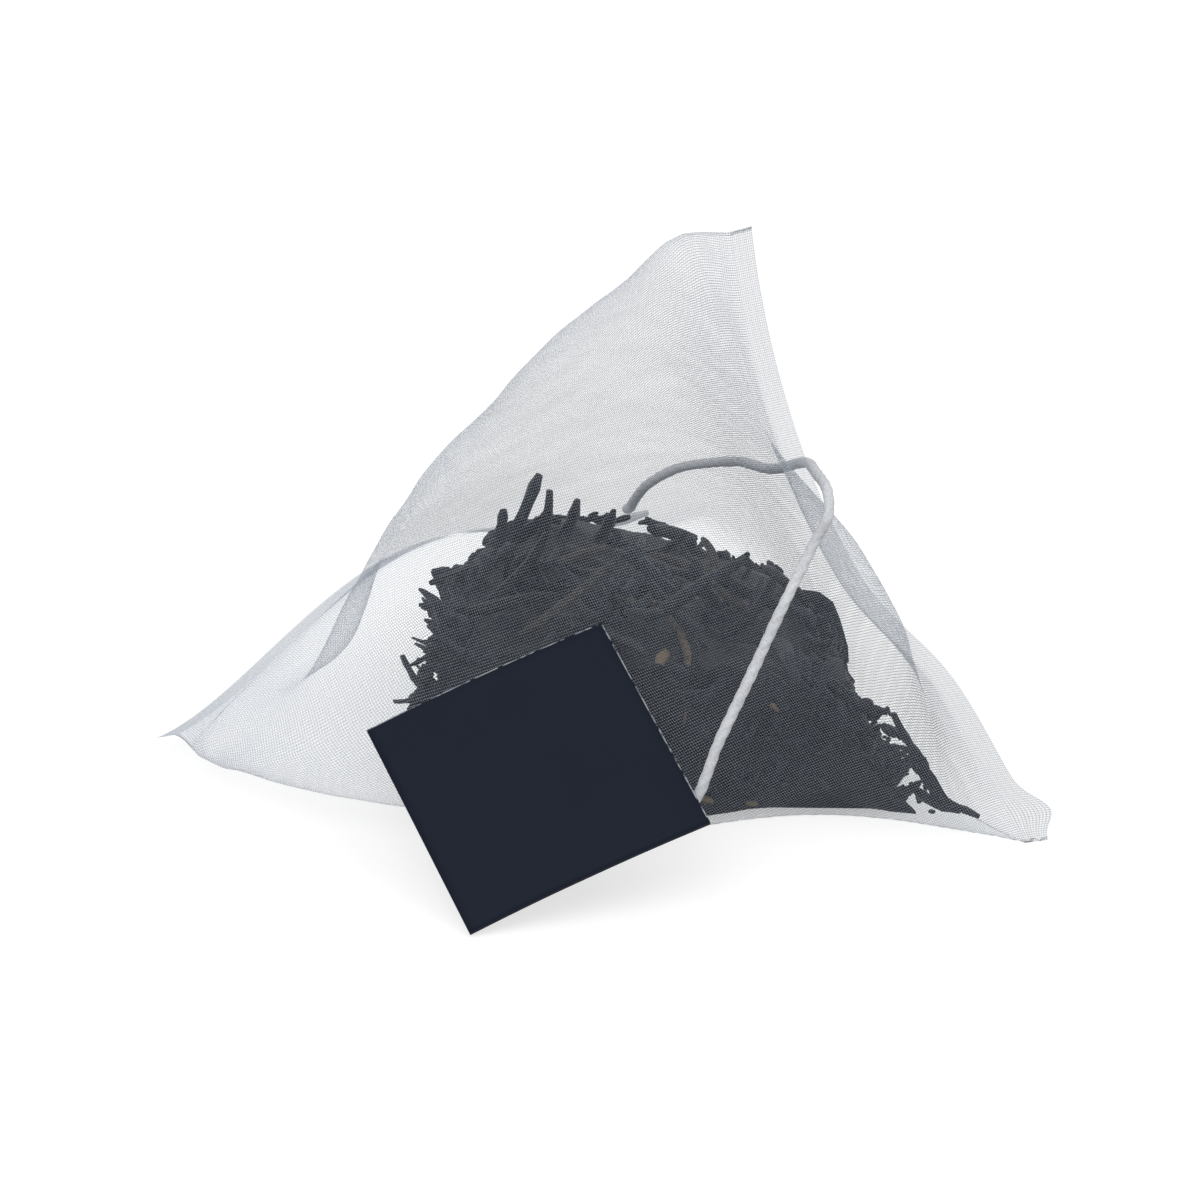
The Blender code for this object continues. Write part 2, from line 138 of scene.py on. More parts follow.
def smooth_route(route, step):
    """Points a step apart on a smooth curve through the route's points."""
    fine = []
    for n in range(len(route) - 1):
        p0 = Vector(route[max(n - 1, 0)])
        p1, p2 = Vector(route[n]), Vector(route[n + 1])
        p3 = Vector(route[min(n + 2, len(route) - 1)])
        for m in range(CURVE_STEPS):
            u = m / CURVE_STEPS
            fine.append(0.5 * (2 * p1 + (p2 - p0) * u
                               + (2 * p0 - 5 * p1 + 4 * p2 - p3) * u * u
                               + (3 * p1 - p0 - 3 * p2 + p3) * u ** 3))
    fine.append(Vector(route[-1]))
    fine = np.array([tuple(p) for p in fine])
    run = np.concatenate([[0.0], np.cumsum(np.linalg.norm(np.diff(fine, axis=0), axis=1))])
    wanted = np.linspace(0.0, run[-1], max(2, round(run[-1] / step)) + 1)
    return np.stack([np.interp(wanted, run, fine[:, axis]) for axis in range(3)], axis=1)


def frames_along(points):
    """For each point of a line, its direction and two sideways ones that don't spin."""
    ways = np.gradient(points, axis=0)
    ways /= np.linalg.norm(ways, axis=1)[:, None]
    side = np.cross(ways[0], FIRST_SIDE)
    sides = []
    for way in ways:
        side = side - way * side.dot(way)
        side = side / np.linalg.norm(side)
        sides.append(side)
    sides = np.array(sides)
    return ways, sides, np.cross(ways, sides)


def principled(name, roughness, specular=0.5, sheen=0.0):
    """A new material, with its node tree and its Principled shader."""
    look = bpy.data.materials.new(name)
    look.use_nodes = True
    shader = look.node_tree.nodes["Principled BSDF"]
    shader.inputs["Roughness"].default_value = roughness
    shader.inputs["Specular IOR Level"].default_value = specular
    shader.inputs["Sheen Weight"].default_value = sheen
    return look, look.node_tree, shader


def node(tree, kind, inputs=(), **settings):
    """A node with its settings, and with its inputs set or linked."""
    made = tree.nodes.new(kind)
    for key, value in settings.items():
        setattr(made, key, value)
    for socket, value in dict(inputs).items():
        if isinstance(value, bpy.types.NodeSocket):
            tree.links.new(value, made.inputs[socket])
        else:
            made.inputs[socket].default_value = value
    return made


def maths(tree, kind, first, second=0.0, third=0.0, clamp=False):
    """One step of arithmetic on values."""
    return node(tree, "ShaderNodeMath", {0: first, 1: second, 2: third},
                operation=kind, use_clamp=clamp).outputs[0]


def shades(tree, value, stops):
    """A value turned into colours, by stops of (place, red, green, blue)."""
    ramp = node(tree, "ShaderNodeValToRGB", {"Fac": value})
    points = ramp.color_ramp.elements
    while len(points) < len(stops):
        points.new(1.0)
    for point, (place, *colour) in zip(points, stops):
        point.position = place
        point.color = (*colour, 1.0)
    return ramp.outputs["Color"]


def speckle(tree, scale, detail=2.0):
    """Random grain that is fixed to the piece, at a scale for each metre."""
    place = node(tree, "ShaderNodeTexCoord").outputs["Object"]
    grain = node(tree, "ShaderNodeTexNoise", {"Vector": place, "Scale": scale, "Detail": detail})
    return grain.outputs["Fac"]


def raise_bumps(tree, shader, height, strength, distance):
    """Lets a height show in a look as fine bumps."""
    bump = node(tree, "ShaderNodeBump",
                {"Height": height, "Strength": strength, "Distance": distance})
    tree.links.new(bump.outputs["Normal"], shader.inputs["Normal"])


cotton, tree, shader = principled("cotton_yarn", 0.9, 0.15, 0.3)
fibres = speckle(tree, 5200.0, 3.0)
soil = speckle(tree, 260.0)
tone = maths(tree, "ADD", maths(tree, "MULTIPLY", fibres, 0.6),
             maths(tree, "MULTIPLY", soil, 0.4))
tree.links.new(shades(tree, tone, ((0.3, 0.50, 0.51, 0.54), (0.7, 0.78, 0.80, 0.83))),
               shader.inputs["Base Color"])
raise_bumps(tree, shader, fibres, 0.6, 0.00006)

string_line = smooth_route(STRING_ROUTE, STRING_STEP)
ways, sides, ups = frames_along(string_line)
mesh, _, places = rolled_grid(STRING_AROUND, len(string_line) - 1)
last_row = len(string_line) - 1
for v, (round_share, along_share) in places.items():
    row = round(along_share * last_row)
    angle = 2.0 * math.pi * round_share
    turn = 2.0 * math.pi * row * STRING_STEP / TWIST_LENGTH
    lobe = 1.0 - PLY_GROOVE * (1.0 - abs(math.cos(0.5 * PLIES * angle)))
    swell = 1.0 + STRING_UNEVEN * noise(Vector(tuple(string_line[row] * UNEVEN_SCALE)))
    pinch = min(1.0, END_GIRTH + END_SWELL * min(row, last_row - row))
    reach = 0.5 * STRING_DIAMETER * lobe * swell * pinch
    around = math.cos(angle + turn) * sides[row] + math.sin(angle + turn) * ups[row]
    v.co = Vector(tuple((string_line[row] + around * reach) * MM))
bmesh.ops.remove_doubles(mesh, verts=mesh.verts, dist=1e-7)
ends = [e for e in mesh.edges if e.is_boundary]
bmesh.ops.holes_fill(mesh, edges=ends, sides=0)
bmesh.ops.recalc_face_normals(mesh, faces=mesh.faces)
string = finished(mesh, "twisted_string", [cotton])
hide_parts("string")

rng = random.Random(3)
mesh = bmesh.new()
for _ in range(STRING_FIBRES):
    row = rng.randrange(BARE_ROWS, last_row - BARE_ROWS)
    angle = rng.uniform(0.0, 2.0 * math.pi)
    out = Vector(tuple(math.cos(angle) * sides[row] + math.sin(angle) * ups[row]))
    along = Vector(tuple(ways[row])) * rng.choice((-1.0, 1.0))
    start = Vector(tuple(string_line[row])) + out * FIBRE_ROOT * STRING_DIAMETER
    length = rng.uniform(*FIBRE_LENGTHS)
    tip = start + along * length * FIBRE_LIES + out * length * rng.uniform(*FIBRE_STANDS)
    hair = bmesh.ops.create_cone(mesh, cap_ends=True, segments=3, radius1=FIBRE_RADII[0] * MM,
                                 radius2=FIBRE_RADII[1] * MM,
                                 depth=(tip - start).length * MM)["verts"]
    facing = (tip - start).to_track_quat("Z", "Y").to_matrix().to_4x4()
    facing.translation = (start + tip) * 0.5 * MM
    bmesh.ops.transform(mesh, matrix=facing, verts=hair)
fuzz = finished(mesh, "string_fuzz", [cotton])

# Pouch
# Sheer nylon gauze of fine threads, 0.21 mm apart both ways, cut 116 mm wide, closed to a tube
# and heat sealed flat at both ends. Where it is sealed the threads have run together.

SEAL_LENGTH = 58.0
APEX = Vector((11.6, -28.5, 49.6))
RIGHT_TIP = Vector((34.5, -30.1, 1.0))
LEFT_TIP = Vector((-34.5, -11.4, 1.0))
BACK_CORNER = Vector((4.5, 30.1, 1.6))
APEX_SEAL_BOW = (1.3, 6.3)
BOW_CHANGES_AT = -0.3
BOW_CHANGE_WIDTH = 0.08
BASE_SEAL_BOW = 7.5
SEAL_FLARE = (-0.9, 0.06, 2.2)
# Each stretch of slack: its place round the tube and along it, both from 0 to 1, how far it
# reaches round and along, and how far it takes the cloth, in mm.
SLACK = (
    (0.10, 0.32, 0.10, 0.20, (-1.6, 0.0, 1.3)),
    (0.06, 0.10, 0.08, 0.10, (-0.4, 0.0, 0.9)),
    (0.02, 0.06, 0.06, 0.07, (-0.5, 0.0, 1.3)),
    (0.38, 0.58, 0.10, 0.24, (0.0, -9.0, 0.0)),
    (0.34, 0.80, 0.08, 0.12, (-1.0, -8.0, 0.0)),
    (0.17, 0.79, 0.05, 0.06, (2.4, -0.8, -2.0)),
    (0.70, 0.30, 0.09, 0.14, (0.8, 0.0, 0.8)),
    (0.51, 0.50, 0.15, 0.42, (0.0, 0.0, -4.6)),
    (0.42, 0.20, 0.07, 0.17, (0.0, 1.3, 0.0)),
    (0.08, 0.62, 0.08, 0.12, (-0.2, 0.0, 1.9)),
    (0.72, 0.20, 0.10, 0.13, (3.0, 0.6, 1.2)),
    (0.28, 0.88, 0.07, 0.09, (-2.5, 0.0, -0.9)),
    (0.255, 0.95, 0.05, 0.06, (0.0, -1.0, -2.2)),
)
SLACK_GROWS = 8.0
OFF_TABLE = 0.03
ROUNDNESS = 2.5
SECTION_POINTS = 400
GROWTH_RANGE = (0.1, 3.0)
HALVINGS = 40
SEAL_WIDTH = 2.4
SEALED_HALF = 0.05
TUBE_LENGTH = 70.0
CLOTH_ROUND = 240
CLOTH_ALONG = 150
SEAL_ROWS = 4
PUCKER = 0.16
PUCKER_SCALES = (0.16, 0.42)
PUCKER_SHIFT = Vector((7.0, 1.0, 3.0))
PUCKER_FINE = 0.5
PUCKER_GROWS = 9.0
PUCKER_FROM = 0.6
PUCKER_OVER = 2.0
THREAD_PITCH = 0.2101
THREAD_WIDTH = 0.064
THREAD_SOLID = 0.245
THREAD_EDGE = 4.0
UNEVEN_WEAVE = 0.08
FUSED_SOLID = 0.06
FUSED_WEAVE = 0.6
RIB_TURNS = 9.0
RIB_SOLID = 0.015
ASLANT_LEAST = 0.15
ASLANT_POWER = 1.3


def cloth_section(t, count):
    """The tube's outline at a share of its length, and how much it has grown to keep its girth."""
    angles = np.linspace(0.0, 2.0 * math.pi, SECTION_POINTS, endpoint=False)
    power = 2.0 / ROUNDNESS
    xi = np.sign(np.cos(angles)) * np.abs(np.cos(angles)) ** power
    eta = -np.sign(np.sin(angles)) * np.abs(np.sin(angles)) ** power
    low, high = GROWTH_RANGE
    for _ in range(HALVINGS):
        grow = 0.5 * (low + high)
        x = xi * grow * (1.0 - t) * SEAL_LENGTH / 2
        y = eta * grow * t * SEAL_LENGTH / 2
        if np.hypot(np.roll(x, -1) - x, np.roll(y, -1) - y).sum() < 2.0 * SEAL_LENGTH:
            low = grow
        else:
            high = grow
    step = np.hypot(np.roll(x, -1) - x, np.roll(y, -1) - y)
    run = np.concatenate([[0.0], np.cumsum(step)])
    wanted = np.arange(count) * run[-1] / count
    x_at = np.interp(wanted, run, np.append(x, x[0]))
    y_at = np.interp(wanted, run, np.append(y, y[0]))
    return x_at, y_at, grow


APEX_SEAL = (APEX - RIGHT_TIP) / 2
BASE_SEAL = (BACK_CORNER - LEFT_TIP) / 2
AXIS = (LEFT_TIP + BACK_CORNER - APEX - RIGHT_TIP).normalized()
APEX_MID = (APEX + RIGHT_TIP) / 2 + AXIS * SEAL_WIDTH
BASE_MID = (LEFT_TIP + BACK_CORNER) / 2 - AXIS * SEAL_WIDTH


def cloth_row(t, count, inset=0.0, beyond=0.0):
    """The cloth's points round the tube at a share of its length, in mm."""
    x_at, y_at, grow = cloth_section(t, count)
    half = SEAL_LENGTH / 2
    a = max(half * grow * (1.0 - t), SEALED_HALF)
    b = max(half * grow * t, SEALED_HALF)
    turns = 2.0 * math.pi * np.arange(count) / count
    xi = x_at / (half * grow * (1.0 - t)) if t < 1.0 else np.cos(turns)
    eta = y_at / (half * grow * t) if t > 0.0 else -np.sin(turns)
    rows = np.array(tuple(APEX_MID.lerp(BASE_MID, t) + AXIS * beyond))[None, :]
    rows = rows + np.outer(xi * (a - inset) / half, tuple(APEX_SEAL))
    rows = rows + np.outer(eta * (b - inset) / half, tuple(BASE_SEAL))
    upper = 1.0 / (1.0 + np.exp(-(xi - BOW_CHANGES_AT) / BOW_CHANGE_WIDTH))
    bow = APEX_SEAL_BOW[0] + (APEX_SEAL_BOW[1] - APEX_SEAL_BOW[0]) * upper
    rows = rows + np.outer(bow * (1.0 - xi ** 2) * (1.0 - t) ** 2, tuple(AXIS))
    rows[:, 2] += BASE_SEAL_BOW * (1.0 - eta ** 2) ** 2 * t ** 2
    if beyond < 0.0:
        at, reach, out = SEAL_FLARE
        flare = out * np.exp(-(((xi - at) / reach) ** 2)) * -beyond / SEAL_WIDTH
        rows = rows - np.outer(flare, tuple(AXIS))
    for at, share, reach, length, move in SLACK:
        off = (np.arange(count) / count - at + 0.5) % 1.0 - 0.5
        hold = np.exp(-((off / reach) ** 2) - ((t - share) / length) ** 2)
        hold = hold * min(1.0, SLACK_GROWS * t) * min(1.0, SLACK_GROWS * (1.0 - t))
        rows = rows + np.outer(hold, move)
    rows[:, 2] = np.maximum(rows[:, 2], inset + OFF_TABLE)
    return rows


def share_past(value, start, length):
    """How far a value has come from a start over a length, kept from 0 to 1."""
    return min(1.0, max(0.0, (value - start) / length))


rows = []
lengths = []
for n in range(SEAL_ROWS):
    beyond = -SEAL_WIDTH * (1.0 - n / SEAL_ROWS)
    rows.append(cloth_row(0.0, CLOTH_ROUND, beyond=beyond))
    lengths.append(SEAL_WIDTH + beyond)
for n in range(CLOTH_ALONG + 1):
    t = n / CLOTH_ALONG
    rows.append(cloth_row(t, CLOTH_ROUND))
    lengths.append(SEAL_WIDTH + t * TUBE_LENGTH)
for n in range(1, SEAL_ROWS + 1):
    beyond = SEAL_WIDTH * n / SEAL_ROWS
    rows.append(cloth_row(1.0, CLOTH_ROUND, beyond=beyond))
    lengths.append(SEAL_WIDTH + TUBE_LENGTH + beyond)
cloth_rows = np.array(rows)

mesh, layer, places = rolled_grid(CLOTH_ROUND, len(rows) - 1)
at_row = {}
for v, (round_share, along_share) in places.items():
    row = round(along_share * (len(rows) - 1))
    column = round(round_share * CLOTH_ROUND)
    at_row[v] = row
    v.co = Vector(tuple(cloth_rows[row, column % CLOTH_ROUND] * MM))
for face in mesh.faces:
    for corner in face.loops:
        share = places[corner.vert][0]
        corner[layer].uv = (share * 2.0 * SEAL_LENGTH, lengths[at_row[corner.vert]])
row_layer = mesh.verts.layers.float["along"]
bmesh.ops.remove_doubles(mesh, verts=mesh.verts, dist=1e-6)
bmesh.ops.recalc_face_normals(mesh, faces=mesh.faces)
mesh.normal_update()
outward = sum(((v.co - LOOKED_AT).dot(v.normal) for v in mesh.verts), 0.0)
if outward < 0.0:
    bmesh.ops.reverse_faces(mesh, faces=mesh.faces)
    mesh.normal_update()
wide, fine = PUCKER_SCALES
for v in mesh.verts:
    spot = v.co / MM
    free = min(1.0, PUCKER_GROWS * min(v[row_layer], 1.0 - v[row_layer]))
    free *= share_past(v.co.z / MM, PUCKER_FROM, PUCKER_OVER)
    ripple = noise(spot * wide) + PUCKER_FINE * noise(spot * fine + PUCKER_SHIFT)
    v.co += v.normal * ripple * PUCKER * free * MM

weave = bpy.data.node_groups.new("open_weave", "ShaderNodeTree")
weave.interface.new_socket("Place", in_out="INPUT", socket_type="NodeSocketVector")
weave.interface.new_socket("Pitch", in_out="INPUT", socket_type="NodeSocketFloat")
weave.interface.new_socket("Thread Width", in_out="INPUT", socket_type="NodeSocketFloat")
weave.interface.new_socket("Threads", in_out="OUTPUT", socket_type="NodeSocketFloat")
weave.interface.new_socket("Height", in_out="OUTPUT", socket_type="NodeSocketFloat")
given = weave.nodes.new("NodeGroupInput")
parts = node(weave, "ShaderNodeSeparateXYZ", {"Vector": given.outputs["Place"]})
threads = []
for axis in ("X", "Y"):
    turns = maths(weave, "DIVIDE", parts.outputs[axis], given.outputs["Pitch"])
    off = maths(weave, "ABSOLUTE", maths(weave, "SUBTRACT", maths(weave, "FRACT", turns), 0.5))
    off = maths(weave, "MULTIPLY", off, given.outputs["Pitch"])
    edge = maths(weave, "MULTIPLY", given.outputs["Thread Width"], 0.5)
    short = maths(weave, "SUBTRACT", 1.0, maths(weave, "DIVIDE", off, edge))
    threads.append((maths(weave, "MULTIPLY", short, THREAD_EDGE, clamp=True),
                    maths(weave, "POWER", maths(weave, "MAXIMUM", short, 0.0), 0.5)))
given_out = weave.nodes.new("NodeGroupOutput")
weave.links.new(maths(weave, "ADD", threads[0][0], threads[1][0]), given_out.inputs["Threads"])
weave.links.new(maths(weave, "MAXIMUM", threads[0][1], threads[1][1]), given_out.inputs["Height"])

gauze, tree, shader = principled("nylon_gauze", 0.42, 0.3)
on_cloth = node(tree, "ShaderNodeUVMap", uv_map="cloth").outputs["UV"]
woven = node(tree, "ShaderNodeGroup", node_tree=weave)
tree.links.new(on_cloth, woven.inputs["Place"])
woven.inputs["Pitch"].default_value = THREAD_PITCH
woven.inputs["Thread Width"].default_value = THREAD_WIDTH
along_cloth = node(tree, "ShaderNodeSeparateXYZ", {"Vector": on_cloth}).outputs["Y"]
from_end = maths(tree, "MINIMUM", along_cloth,
                 maths(tree, "SUBTRACT", TUBE_LENGTH + 2 * SEAL_WIDTH, along_cloth))
sealed = maths(tree, "LESS_THAN", from_end, SEAL_WIDTH)
ribs = maths(tree, "SINE", maths(tree, "MULTIPLY", along_cloth, RIB_TURNS))
ribs = maths(tree, "MULTIPLY", ribs, 0.5)
uneven = speckle(tree, 140.0)
open_cloth = maths(tree, "MULTIPLY", woven.outputs["Threads"],
                   maths(tree, "MULTIPLY_ADD", uneven, UNEVEN_WEAVE,
                         THREAD_SOLID - UNEVEN_WEAVE / 2))
fused_cloth = maths(tree, "ADD", maths(tree, "MULTIPLY_ADD", ribs, RIB_SOLID, FUSED_SOLID),
                    maths(tree, "MULTIPLY", open_cloth, FUSED_WEAVE))
solid = node(tree, "ShaderNodeMix", {0: sealed, 2: open_cloth, 3: fused_cloth}).outputs[0]
# Round threads close up where the sight line meets the gauze aslant, as any sheer cloth does.
aslant = node(tree, "ShaderNodeLayerWeight", {"Blend": 0.5}).outputs["Facing"]
square_on = maths(tree, "MAXIMUM", maths(tree, "SUBTRACT", 1.0, aslant), ASLANT_LEAST)
lets_by = maths(tree, "POWER", maths(tree, "SUBTRACT", 1.0, solid),
                maths(tree, "POWER", square_on, -ASLANT_POWER))
tree.links.new(maths(tree, "SUBTRACT", 1.0, lets_by), shader.inputs["Alpha"])
nylon = shades(tree, uneven, ((0.2, 0.42, 0.47, 0.56), (0.8, 0.52, 0.58, 0.67)))
tree.links.new(node(tree, "ShaderNodeMix", {0: sealed, 6: nylon, 7: (0.55, 0.6, 0.67, 1.0)},
                    data_type="RGBA").outputs[2], shader.inputs["Base Color"])
raise_bumps(tree, shader, woven.outputs["Height"], 0.35, 0.00003)

cloth = finished(mesh, "gauze_pouch", [gauze])
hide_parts("mesh_pouch")
bpy.context.scene.cycles.transparent_max_bounces = 32

# Weld
# The string's end is melted into the seal under a small pad of the same nylon.

melted, tree, shader = principled("melted_nylon", 0.3, 0.5)
lumps = speckle(tree, 1500.0)
tree.links.new(shades(tree, lumps, ((0.3, 0.55, 0.57, 0.6), (0.7, 0.72, 0.74, 0.77))),
               shader.inputs["Base Color"])
raise_bumps(tree, shader, lumps, 0.5, 0.0001)
weld_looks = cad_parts["string_weld"].data.materials
weld_looks.clear()
weld_looks.append(melted)

# Tea
# Loose black tea of long wiry leaves, rolled and twisted as they dried, with broken bits and a
# few tan stems among them. It lies in the base of the pouch and against its front wall.

# Places are also judged as the camera sees them: its distance in mm, how far in front a look
# starts, and the cosine and tangent of its downward angle, rounded.
SIGHT_AWAY = CAMERA_AWAY / MM
SIGHT_START = 60.0
DOWN_COSINE = 0.92
DOWN_TANGENT = 0.4245
ROOM_START = 0.03
CROSSINGS_MOST = 9
PAST_HIT = 0.002

# The bed is the frame's heap, moved against the front wall and the cloth under it, and settled.
BED_LEFT = -9.0
BED_LEFT_KEEP = 0.55
BED_FRONT = -14.0
FRONT_OVER = 4.0
BED_MIDDLE = Vector((4.0, -10.0, 6.0))
BED_BOTTOM = 0.35
BED_CLEAR = 0.25
BED_PUT_BACK = 0.3
RIGHT_DEEPER = 4.0
RIGHT_FROM = 15.0
RIGHT_OVER = 4.0
WALL_REACH = 5.0
WALL_REACH_RIGHT = 1.5
WALL_KEPT = 0.35
FLOOR_REACH = 2.5
SINKS_MOST = 2.5
UNDER_TOP = 1.3
COMES_DOWN = (0.3, 3.0)
LOOSE_FROM = 5.0
LOOSE_OVER = 5.0
HEAPED_BEHIND = (1.0, 3.0)
SUNK_BEHIND = (-12.0, 10.0)
# How far the heap has sunk at each x, both in mm, and then its top line as it is seen in front.
SETTLED = ((-12.0, 0.0), (-9.5, -0.6), (-7.0, -1.5), (-5.0, -1.2), (-3.0, -0.3), (-1.0, -0.2),
           (0.5, 1.2), (4.0, 1.5), (5.5, 2.2), (8.0, 2.6), (12.0, 2.6), (13.5, 2.2), (15.5, 0.5),
           (17.0, 0.0))
TOP_LINE = ((-13.9, 20.2), (-12.3, 20.5), (-9.8, 21.8), (-7.4, 24.4), (-6.7, 25.5), (-5.2, 25.5),
            (-2.1, 26.2), (-0.5, 25.7), (1.5, 25.3), (5.1, 24.6), (8.2, 23.3), (11.9, 21.9),
            (14.8, 20.7), (16.0, 18.7), (18.3, 17.1), (19.4, 13.5), (20.1, 10.3), (21.4, 10.1),
            (22.9, 9.4), (23.6, 7.6), (24.5, 6.2), (25.6, 5.7), (25.8, 5.0), (26.1, 2.9),
            (27.2, 1.9), (29.2, 0.4), (30.1, -0.3))

# Leaves: lengths and widths in mm, turns in radians, each a range to draw from.
LEAF_SIDES = 5
LEAF_STEPS = 6
LEAF_CLEAR = 0.32
LEAF_KEPT = 0.36
LEAF_FLAT = (0.4, 0.8)
LEAF_TWIST = (-5.0, 5.0)
LEAF_TAPER = (0.6, 0.92, 1.0, 1.0, 0.95, 0.82, 0.5)
LEAF_UNEVEN = (0.78, 1.15)
LEAF_WOBBLE = 0.1
ANY_TURN = (0.0, 6.28)
TOP_FRAY = (-0.8, 0.15)
ROUTE_STEP = 0.02
HEAP_LEAVES = 1700
HEAP_TRIES = 16000
HEAP_OUT = (-0.5, 0.55)
NOT_UNDER = -0.6
HEAP_LENGTHS = ((0.9, 1.6), (1.3, 2.8), (2.2, 4.4))
HEAP_WIDTHS = (0.65, 1.35)
HEAP_CURLS = (0.05, 0.6)
LYING_SHARE = 0.93
LYING = (-0.15, 0.12)
STANDING = (0.2, 0.6)
WALL_LEAVES = 800
WALL_TRIES = 12000
WALL_LEFT = -11.5
WALL_TOP = 12.6
RIGHT_END = 24.0
HELD_NEAR = 4.0
HELD_NEAR_RIGHT = 5.5
WALL_BEHIND = (0.45, 0.5, 2.6)
WALL_LENGTHS = ((1.0, 2.0), (1.8, 3.6), (3.0, 6.0))
WALL_WIDTHS = (0.6, 1.15)
WALL_CURLS = (0.0, 0.2)
WALL_STANDING = (-0.05, 0.2)
CRUMB_SHARE = 0.2
CRUMBS_PAST = 25.0
CRUMB_LENGTHS = (0.5, 1.3)
CRUMB_WIDTHS = (0.3, 0.6)

# Single leaves that the photo shows, each with its route, width and shade. The first stand in
# the heap. The bits in front lie behind the wall, and their routes are x and the height seen.
PLACED_LEAVES = (
    (((-7.0, -1.0, 12.4), (-5.7, -1.0, 15.6), (-4.2, -1.0, 19.3)), 1.6, 0.4),
    (((-7.6, -1.2, 12.6), (-7.3, -1.1, 14.6), (-7.1, -1.0, 16.3)), 1.2, 0.3),
    (((-4.2, -1.0, 13.0), (-3.6, -1.0, 16.0), (-3.4, -1.0, 17.9)), 1.4, 0.2),
    (((-2.6, 0.5, 12.8), (-1.6, 0.4, 15.0), (-1.2, 0.3, 16.6)), 1.3, 0.3),
    (((0.4, 1.0, 12.6), (1.4, 0.8, 14.6), (1.7, 0.6, 15.6)), 1.2, 0.2),
    (((-10.9, -6.0, 12.0), (-11.6, -6.4, 13.0), (-12.6, -7.2, 13.4)), 1.2, 0.3),
    (((-14.6, -20.0, 11.9), (-13.7, -20.3, 10.1), (-12.6, -20.6, 8.4)), 0.8, 0.3),
    (((16.6, -6.0, 11.2), (18.6, -6.0, 10.2), (19.6, -6.6, 8.0), (20.2, -7.0, 5.6)), 1.1, 0.3),
)
FRONT_BITS = (
    (((5.7, 18.0), (6.1, 16.8), (7.4, 13.1), (7.0, 7.7)), 0.75, 1.2),
    (((1.9, 17.8), (3.8, 17.9), (5.7, 17.7)), 0.6, 1.2),
    (((5.1, 12.7), (5.8, 13.5)), 1.2, 1.5),
    (((-12.4, 17.4), (-12.5, 16.3)), 0.9, 1.5),
    (((6.9, 20.3), (7.4, 19.6)), 0.9, 1.3),
    (((8.2, 1.5), (9.3, 1.3)), 0.8, 1.5),
    (((11.8, 1.1), (12.7, 1.0)), 0.8, 1.5),
    (((13.6, 9.4), (14.2, 8.8)), 0.7, 1.3),
    (((3.0, 10.4), (3.9, 9.6)), 0.7, 1.3),
    (((-3.4, 21.0), (-2.4, 20.7)), 0.7, 1.2),
    (((22.9, 8.6), (24.0, 6.4), (25.2, 4.7)), 1.2, 0.4),
    (((24.4, 5.4), (25.3, 4.2), (25.8, 3.0)), 1.2, 0.5),
    (((25.0, 4.2), (26.2, 2.4), (27.4, 1.1)), 1.3, 0.3),
    (((24.8, 2.2), (26.2, 1.1), (28.2, 0.4)), 1.3, 0.2),
    (((26.4, 1.8), (28.0, 0.8), (29.6, 0.0)), 1.0, 0.3),
)
PLACED_TWIST = 1.0
PLACED_FLAT = 0.7
BIT_FLAT = 0.6
TOO_DEEP = 2.5
BIT_LIFT = 0.7
BIT_BEHIND = 0.45
BITS_FREE_PAST = 22.0

black_leaf, tree, shader = principled("black_tea_leaf", 0.6, 0.25)
shade = node(tree, "ShaderNodeAttribute", attribute_name="shade").outputs["Fac"]
grain = speckle(tree, 2600.0, 3.0)
tone = maths(tree, "ADD", maths(tree, "MULTIPLY", shade, 0.65),
             maths(tree, "MULTIPLY", grain, 0.35))
LEAF_TONES = ((0.15, 0.002, 0.003, 0.006), (0.5, 0.006, 0.008, 0.014),
              (0.8, 0.018, 0.019, 0.026), (0.93, 0.05, 0.04, 0.03), (1.0, 0.15, 0.11, 0.06))
tree.links.new(shades(tree, tone, LEAF_TONES), shader.inputs["Base Color"])
tree.links.new(maths(tree, "MULTIPLY_ADD", grain, 0.4, 0.42), shader.inputs["Roughness"])
raise_bumps(tree, shader, grain, 0.7, 0.00012)

tan_wood, tree, shader = principled("tan_stem_wood", 0.75, 0.25)
grain = speckle(tree, 1800.0)
tree.links.new(shades(tree, grain, ((0.3, 0.014, 0.013, 0.013), (0.7, 0.044, 0.036, 0.028))),
               shader.inputs["Base Color"])
raise_bumps(tree, shader, grain, 0.6, 0.0001)

for name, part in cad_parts.items():
    if name.startswith("tea_leaf"):
        part.data.materials.clear()
        part.data.materials.append(black_leaf)
    if name.startswith("tea_stem"):
        part.data.materials.clear()
        part.data.materials.append(tan_wood)


def tree_of(points, faces):
    """A search tree over a surface, from its points in mm and its faces."""
    return BVHTree.FromPolygons([Vector(tuple(p)) for p in points], faces)


def inner_room(inset, around=60, along=44):
    """The space inside the pouch, clear of its cloth, and its wall's points row by row."""
    shares = [ROOM_START + (1.0 - 2.0 * ROOM_START) * j / along for j in range(along + 1)]
    grid = np.array([cloth_row(t, around, inset=inset) for t in shares])
    faces = []
    for j in range(along):
        for k in range(around):
            n = (k + 1) % around
            ahead = (j + 1) * around
            faces.append((j * around + k, j * around + n, ahead + n, ahead + k))
    faces.append(tuple(reversed(range(around))))
    faces.append(tuple(range(along * around, (along + 1) * around)))
    return tree_of(grid.reshape(-1, 3), faces), grid


def settle(spot):
    """How far the loose top of the heap has sunk, or been heaped up, at a place in mm."""
    x, sunk = zip(*SETTLED)
    down = float(np.interp(spot.x, x, sunk))
    start, length = HEAPED_BEHIND if down < 0.0 else SUNK_BEHIND
    loose = share_past(spot.z, LOOSE_FROM, LOOSE_OVER)
    return down * loose * share_past(spot.y, start, length)


